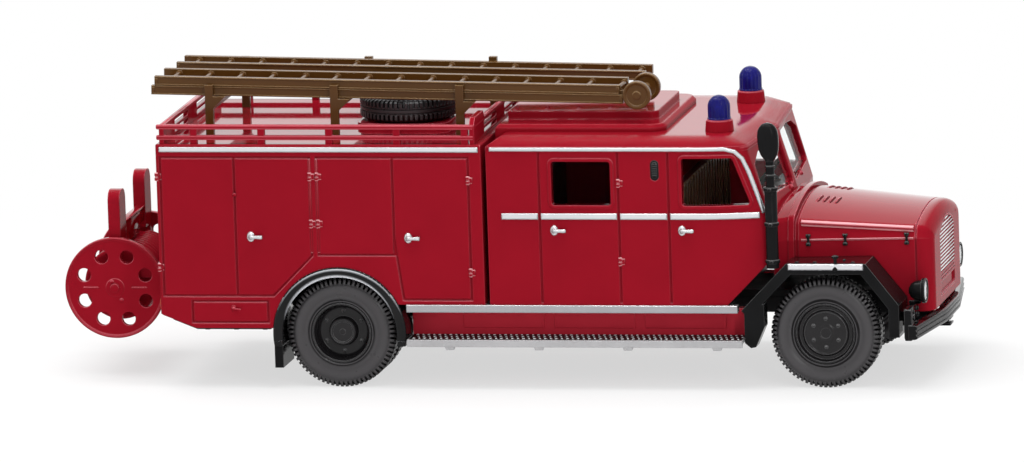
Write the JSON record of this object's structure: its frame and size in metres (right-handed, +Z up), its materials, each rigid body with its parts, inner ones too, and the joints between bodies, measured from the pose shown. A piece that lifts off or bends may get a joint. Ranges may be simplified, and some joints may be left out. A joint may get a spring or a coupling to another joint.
{
  "type": "scale model fire engine",
  "caption": "Small plastic scale model of a bonneted crew-cab fire engine with a box body, roof ladders and a tail-hung hose reel; its axles and reel turn.",
  "frame": {"origin": "on the ground under the middle of the overall width and, within 0.2 mm, of the overall length", "axes": "+X forward, +Y to the vehicle's left, +Z up"},
  "size_m": [0.0878, 0.028, 0.0303],
  "materials": {
    "red_plastic": "high-gloss moulded red",
    "black_plastic": "glossy moulded black",
    "chassis_black": "satin moulded black",
    "rim_black": "satin moulded black",
    "tyre_black": "matt, with a moulded tread",
    "ladder_brown": "satin moulded brown",
    "silver_print": "printed bright silver",
    "silver_plastic": "silver-grey moulding",
    "clear": "clear, polished",
    "blue_clear": "transparent deep blue",
    "interior_brown": "satin dark brown",
    "lamp_orange": "glossy"
  },
  "bodies": {
    "body": {"air_intake": "black_plastic", "beacon_bases": "red_plastic", "beacon_domes": "blue_clear", "belt_trim": "silver_print", "bonnet": "red_plastic", "bonnet_latches": "black_plastic", "box_body": "red_plastic", "box_trim": "silver_print", "bumper": "black_plastic", "cab_body": "red_plastic", "cab_interior": "interior_brown", "cab_roof_pad": "red_plastic", "cab_trim": "silver_print", "chassis": "chassis_black", "dashboard": "interior_brown", "door_handles": "silver_print", "fender_strips": "silver_print", "front_fenders": "black_plastic", "grille": "red_plastic", "headlight_housings": "black_plastic", "headlight_lenses": "clear", "ladder_lower": "ladder_brown", "ladder_rack": "ladder_brown", "ladder_rollers": "ladder_brown", "ladder_upper": "ladder_brown", "mudflaps": "black_plastic", "plug_ladder": "ladder_brown", "rear_arch_liners": "black_plastic", "rear_lights": "lamp_orange", "reel_carrier": "red_plastic", "roof_railing": "red_plastic", "running_boards": "silver_plastic", "scuttle": "red_plastic", "side_windows": "clear", "sill_trim": "silver_print", "sills": "red_plastic", "spare_wheel": "tyre_black", "spare_wheel_base": "red_plastic", "steering_wheel": "interior_brown", "tow_coupling": "black_plastic", "turn_indicators": "black_plastic", "windscreen": "clear"},
    "front_wheels": {"front_axle": "chassis_black", "front_rims": "rim_black", "front_tyres": "tyre_black"},
    "rear_wheels": {"rear_axle": "chassis_black", "rear_rims": "rim_black", "rear_tyres": "tyre_black"},
    "hose_reel": {"reel_axle": "red_plastic", "reel_discs": "red_plastic", "hose_winding": "red_plastic"}
  },
  "joints": [
    {"name": "front_axle_turn", "type": "hinge", "parent": "body", "child": "front_wheels", "pos_m": [0.0332, 0, 0.00545], "axis": [0, 1, 0], "continuous": true},
    {"name": "rear_axle_turn", "type": "hinge", "parent": "body", "child": "rear_wheels", "pos_m": [-0.0151, 0, 0.00545], "axis": [0, 1, 0], "continuous": true},
    {"name": "hose_reel_turn", "type": "hinge", "parent": "body", "child": "hose_reel", "pos_m": [-0.0389, 0, 0.009], "axis": [0, 1, 0], "continuous": true}
  ]
}
